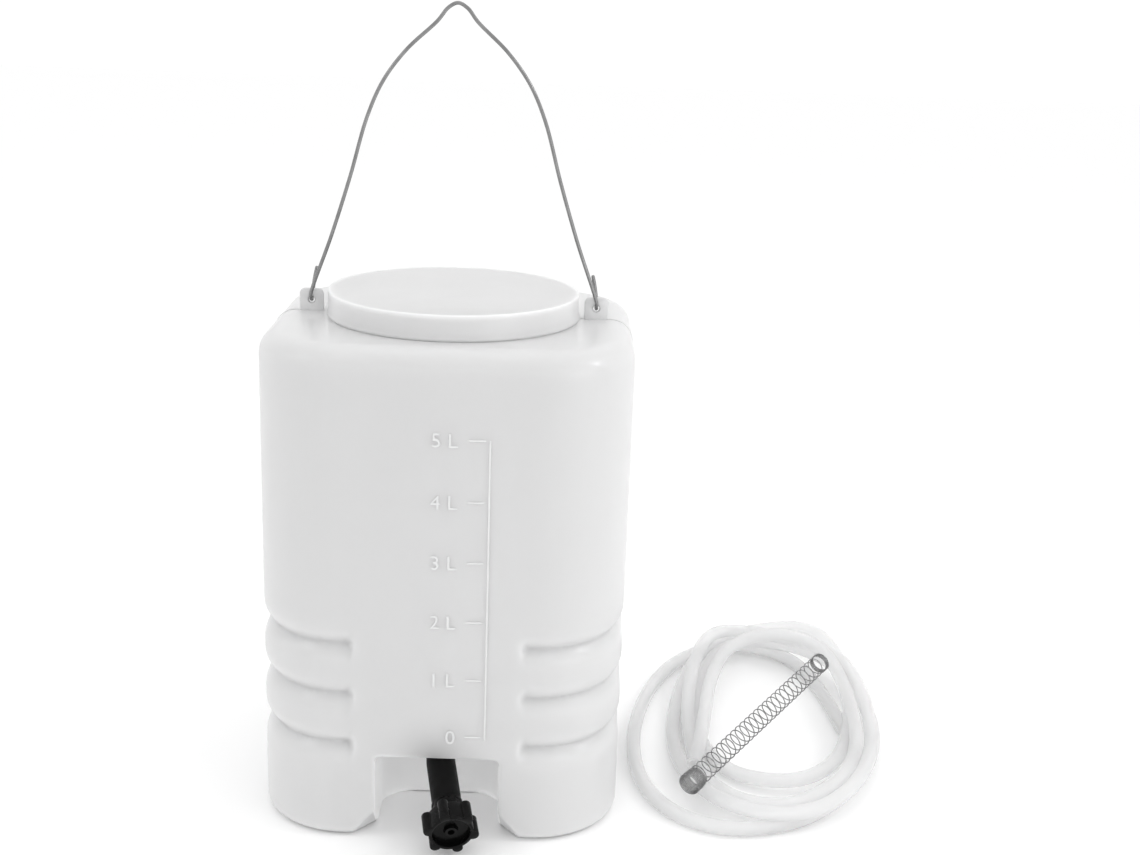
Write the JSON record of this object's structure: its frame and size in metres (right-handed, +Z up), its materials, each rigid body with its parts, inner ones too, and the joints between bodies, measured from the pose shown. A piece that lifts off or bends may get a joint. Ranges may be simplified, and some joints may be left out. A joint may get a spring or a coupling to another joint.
{
  "type": "hanging plastic tank",
  "caption": "Rounded square plastic tank with a round lift-off lid, wire bail, bottom outlet with a lobed hose nut, and a loose hose and hose spring.",
  "frame": {"origin": "on the floor, under the middle of the tank's plan", "axes": "+X to the tank's right, +Y to its back, +Z up; the outlet is at the front, -Y"},
  "size_m": [0.3645, 0.3067, 0.4352],
  "materials": {
    "milky_plastic": "satin, translucent milky polyethylene",
    "lid_plastic": "satin milky polyethylene",
    "steel_wire": "drawn wire",
    "black_plastic": "glossy moulded",
    "black_rubber": "satin",
    "clear_hose": "satin, translucent flexible hose"
  },
  "bodies": {
    "tank": {"tank_shell": "milky_plastic", "lid_seal": "black_rubber", "bulkhead_fitting": "black_plastic", "bulkhead_outer_washer": "black_rubber", "bulkhead_inner_washer": "black_rubber", "bulkhead_nut": "black_plastic", "outlet_tube": "black_rubber", "coupling_body": "black_plastic", "coupling_seal": "black_rubber", "hose_tail": "black_plastic"},
    "lid": {"lid": "lid_plastic"},
    "bail": {"bail_wire": "steel_wire"},
    "nut": {"hose_nut": "black_plastic"},
    "hose": {"hose_coil": "clear_hose"},
    "spring": {"hose_spring": "steel_wire"}
  },
  "joints": [
    {"name": "lid_lift", "type": "slide", "parent": "tank", "child": "lid", "axis": [0, 0, 1], "range_m": [0, 0.015]},
    {"name": "bail_swing", "type": "hinge", "parent": "tank", "child": "bail", "pos_m": [0, 0, 0.2795], "axis": [1, 0, 0], "range_deg": [-90, 90]},
    {"name": "nut_turn", "type": "hinge", "parent": "tank", "child": "nut", "pos_m": [0.01, -0.11, 0.0159], "axis": [0.187, -0.9351, -0.3011], "range_deg": [0, 720]},
    {"name": "hose_lift", "type": "slide", "parent": "tank", "child": "hose", "axis": [0, 0, 1], "range_m": [0, 0.05]},
    {"name": "spring_lift", "type": "slide", "parent": "hose", "child": "spring", "axis": [0, 0, 1], "range_m": [0, 0.05]}
  ]
}
